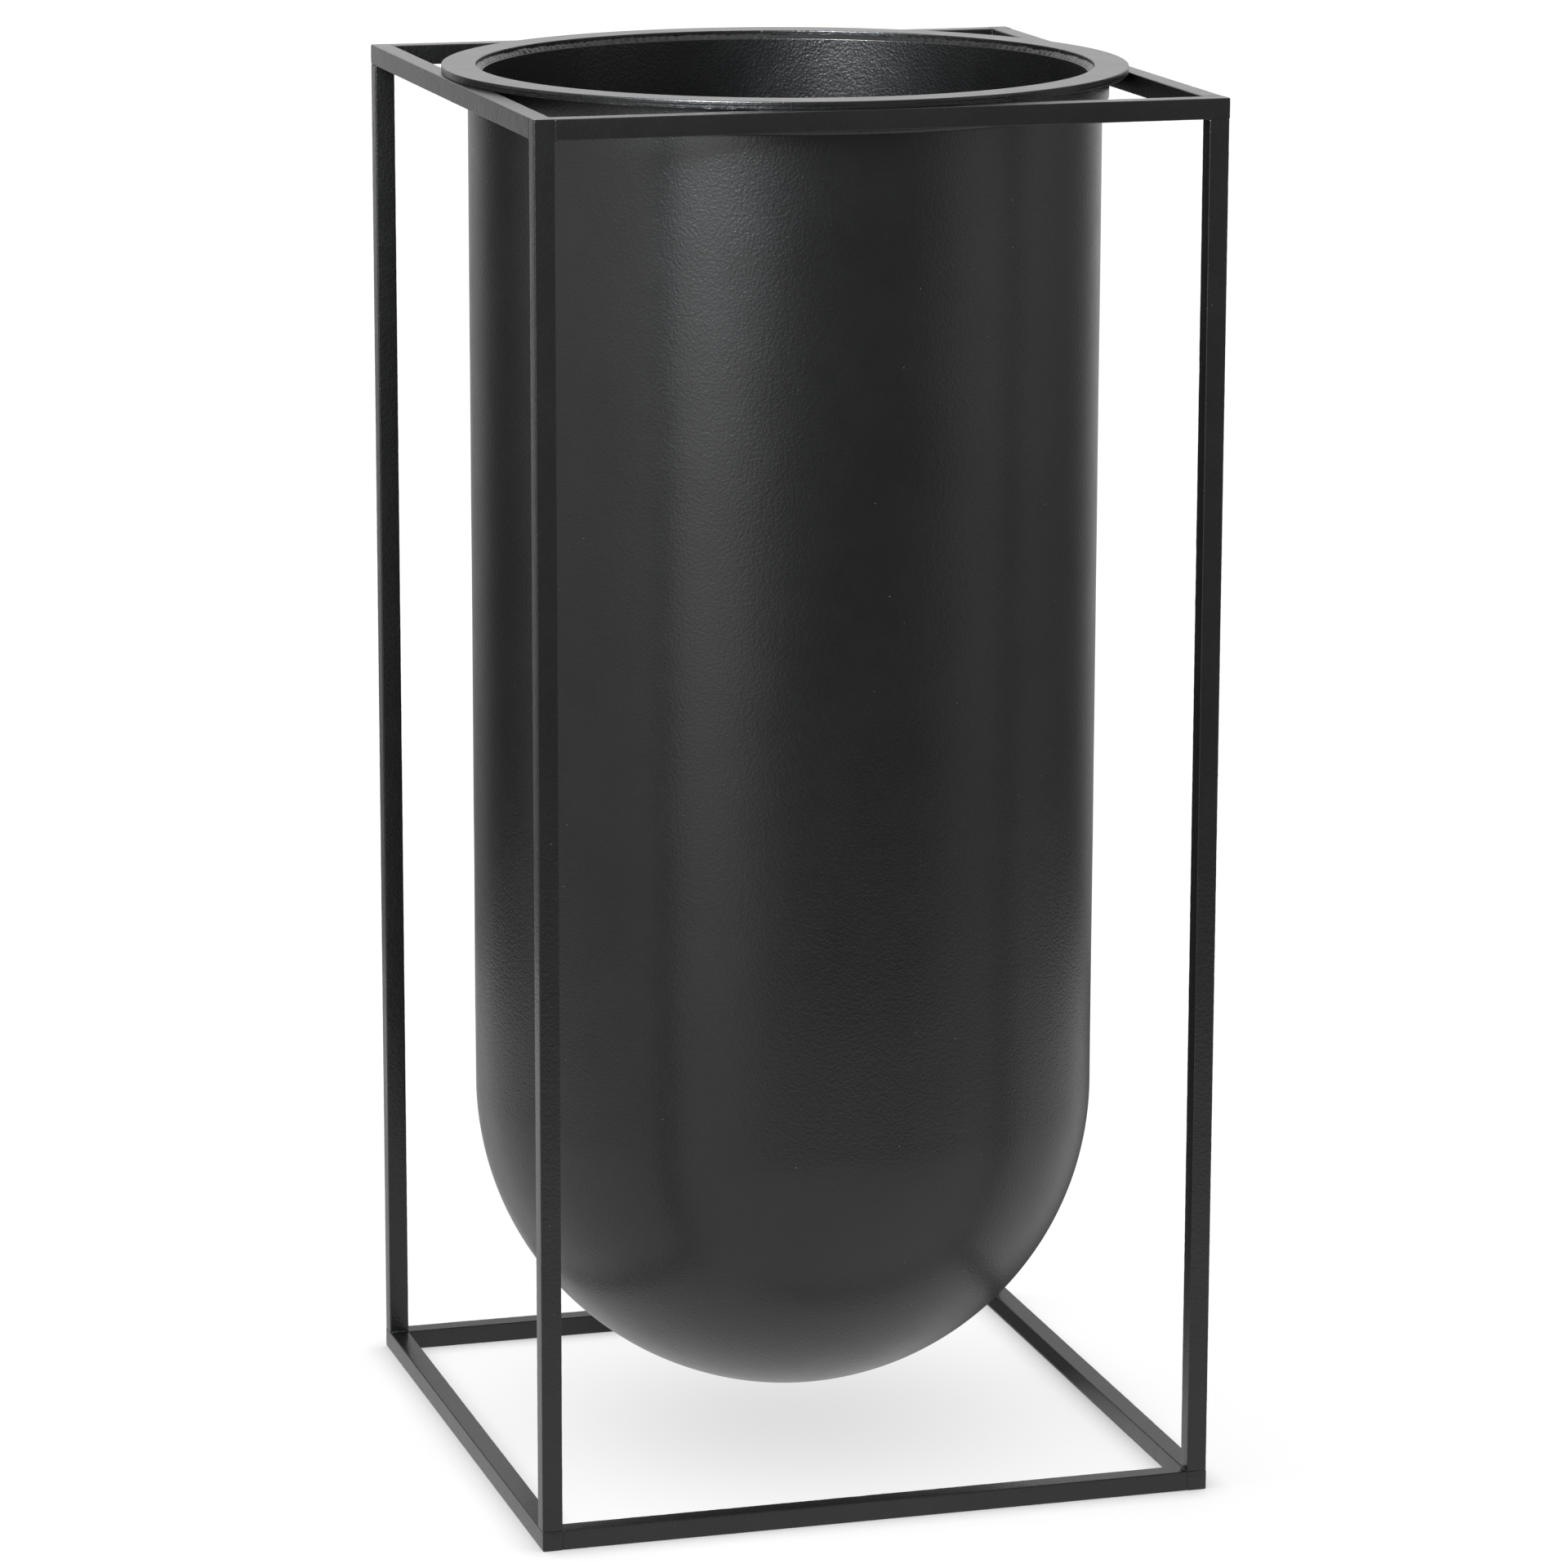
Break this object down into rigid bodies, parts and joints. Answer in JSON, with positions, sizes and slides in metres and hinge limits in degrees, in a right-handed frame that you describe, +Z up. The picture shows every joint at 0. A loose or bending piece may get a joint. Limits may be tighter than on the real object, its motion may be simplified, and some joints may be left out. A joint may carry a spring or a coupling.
{
  "type": "ashtray bin",
  "caption": "Tall round-bottomed steel ash bin: a flanged vessel that hangs in an open square-bar stand and lifts straight out.",
  "frame": {"origin": "on the floor, in the middle of the stand's square footprint", "axes": "+Z up along the vessel's axis; the front of the stand faces -Y, and +X is to the right seen from the front"},
  "size_m": [0.27, 0.27, 0.553],
  "materials": {
    "stand_coat": "black powder coat, fine texture, satin",
    "vessel_coat": "black powder coat, fine orange peel, satin"
  },
  "bodies": {
    "stand": {"front_bottom_rail": "stand_coat", "back_bottom_rail": "stand_coat", "left_bottom_rail": "stand_coat", "right_bottom_rail": "stand_coat", "front_top_rail": "stand_coat", "back_top_rail": "stand_coat", "left_top_rail": "stand_coat", "right_top_rail": "stand_coat", "front_left_post": "stand_coat", "front_right_post": "stand_coat", "back_left_post": "stand_coat", "back_right_post": "stand_coat"},
    "vessel": {"flange": "vessel_coat", "locating_collar": "vessel_coat", "mouth_sleeve": "vessel_coat", "vessel_tube": "vessel_coat", "vessel_end": "vessel_coat", "mouth_weld": "vessel_coat"}
  },
  "joints": [
    {"name": "vessel_lift", "type": "slide", "parent": "stand", "child": "vessel", "axis": [0, 0, 1], "range_m": [0, 0.54]}
  ]
}
